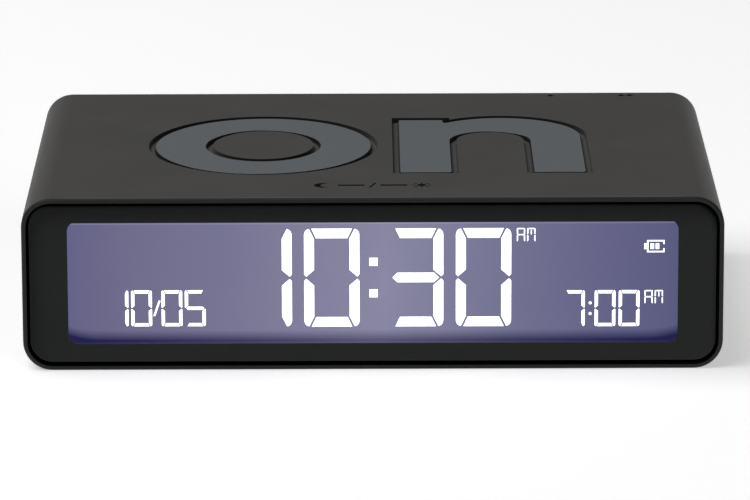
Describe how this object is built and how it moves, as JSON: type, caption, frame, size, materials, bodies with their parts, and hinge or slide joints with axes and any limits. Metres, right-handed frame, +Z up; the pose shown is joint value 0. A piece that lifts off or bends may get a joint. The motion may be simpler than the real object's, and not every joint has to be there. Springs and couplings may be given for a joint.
{
  "type": "flip-over desk alarm clock",
  "caption": "Small rounded brick-shaped digital alarm clock with a wide display, turned over to switch its alarm on or off, with rear keys and a hinged battery door.",
  "frame": {"origin": "centre of the underside, on the surface that the clock stands on", "axes": "+X along the width, to the right as the display is read; -Y out of the display; +Z up"},
  "size_m": [0.105, 0.07, 0.0265],
  "materials": {
    "soft_shell": "soft matt",
    "inlay": "satin",
    "clear_lens": "gloss",
    "black_mask": "gloss",
    "display_glass": "gloss",
    "display_film": "satin",
    "black_plastic": "fine texture",
    "white_plastic": "satin",
    "lamp": "clear",
    "contact_rubber": "matt",
    "board_green": "satin lacquer",
    "chip_black": "gloss",
    "steel": "bright",
    "aluminium_can": "satin",
    "resistor": "matt",
    "copper_foil": "bright",
    "brass": "bright",
    "ceramic": "matt",
    "cell_jacket": "gloss",
    "key": "soft matt",
    "wire_red": "satin",
    "wire_black": "satin",
    "ribbon": "satin"
  },
  "bodies": {
    "clock": {"sleeve": "soft_shell", "inlay_on_o": "inlay", "inlay_on_n": "inlay", "inlay_off_o": "inlay", "inlay_off_f1": "inlay", "inlay_off_f2": "inlay", "front_lens": "clear_lens", "lens_mask": "black_mask", "display_frame": "black_plastic", "front_polariser": "display_film", "front_glass": "display_glass", "rear_glass": "display_glass", "rear_polariser": "display_film", "diffuser_sheet": "white_plastic", "light_box": "white_plastic", "backlight_lamps": "lamp", "contact_strips": "contact_rubber", "main_board": "board_green", "clock_chip": "chip_black", "crystal": "steel", "capacitor": "aluminium_can", "chip_resistors": "resistor", "tilt_base": "black_plastic", "tilt_can": "steel", "touch_pads": "copper_foil", "touch_leaves": "steel", "rear_panel": "black_plastic", "panel_screws": "steel", "battery_cell_1": "cell_jacket", "battery_cell_2": "cell_jacket", "plus_contact": "steel", "minus_plate": "steel", "minus_spring": "steel", "buzzer_disc": "brass", "buzzer_ceramic": "ceramic", "key_switches": "black_plastic", "key_board": "board_green", "key_board_screws": "steel", "ribbon_sockets": "white_plastic", "key_ribbon": "ribbon", "battery_wire_red": "wire_red", "battery_wire_black": "wire_black", "buzzer_leads": "wire_red"},
    "battery_door": {"battery_door": "black_plastic", "door_bridge": "steel"},
    "tilt_ball": {"tilt_ball": "steel"},
    "key_hours": {"key_hours": "key"},
    "plunger_hours": {"plunger_hours": "key"},
    "key_minutes": {"key_minutes": "key"},
    "plunger_minutes": {"plunger_minutes": "key"},
    "key_clock": {"key_clock": "key"},
    "plunger_clock": {"plunger_clock": "key"},
    "key_alarm": {"key_alarm": "key"},
    "plunger_alarm": {"plunger_alarm": "key"}
  },
  "joints": [
    {"name": "battery_door_hinge", "type": "hinge", "parent": "clock", "child": "battery_door", "pos_m": [-0.0416, 0.0333, 0.01325], "axis": [0, 0, 1], "range_deg": [0, 95]},
    {"name": "tilt_ball_roll", "type": "slide", "parent": "clock", "child": "tilt_ball", "axis": [0, 0, 1], "range_m": [0, 0.0025]},
    {"name": "key_hours_press", "type": "slide", "parent": "clock", "child": "key_hours", "axis": [0, -1, 0], "range_m": [0, 0.00025], "stiffness_N_per_m": 800},
    {"name": "plunger_hours_press", "type": "slide", "parent": "clock", "child": "plunger_hours", "axis": [0, -1, 0], "range_m": [0, 0.00025]},
    {"name": "key_minutes_press", "type": "slide", "parent": "clock", "child": "key_minutes", "axis": [0, -1, 0], "range_m": [0, 0.00025], "stiffness_N_per_m": 800},
    {"name": "plunger_minutes_press", "type": "slide", "parent": "clock", "child": "plunger_minutes", "axis": [0, -1, 0], "range_m": [0, 0.00025]},
    {"name": "key_clock_press", "type": "slide", "parent": "clock", "child": "key_clock", "axis": [0, -1, 0], "range_m": [0, 0.00025], "stiffness_N_per_m": 800},
    {"name": "plunger_clock_press", "type": "slide", "parent": "clock", "child": "plunger_clock", "axis": [0, -1, 0], "range_m": [0, 0.00025]},
    {"name": "key_alarm_press", "type": "slide", "parent": "clock", "child": "key_alarm", "axis": [0, -1, 0], "range_m": [0, 0.00025], "stiffness_N_per_m": 800},
    {"name": "plunger_alarm_press", "type": "slide", "parent": "clock", "child": "plunger_alarm", "axis": [0, -1, 0], "range_m": [0, 0.00025]}
  ],
  "couplings": [
    {"joint": "plunger_hours_press", "follows": "key_hours_press", "ratio": 1},
    {"joint": "plunger_minutes_press", "follows": "key_minutes_press", "ratio": 1},
    {"joint": "plunger_clock_press", "follows": "key_clock_press", "ratio": 1},
    {"joint": "plunger_alarm_press", "follows": "key_alarm_press", "ratio": 1}
  ]
}
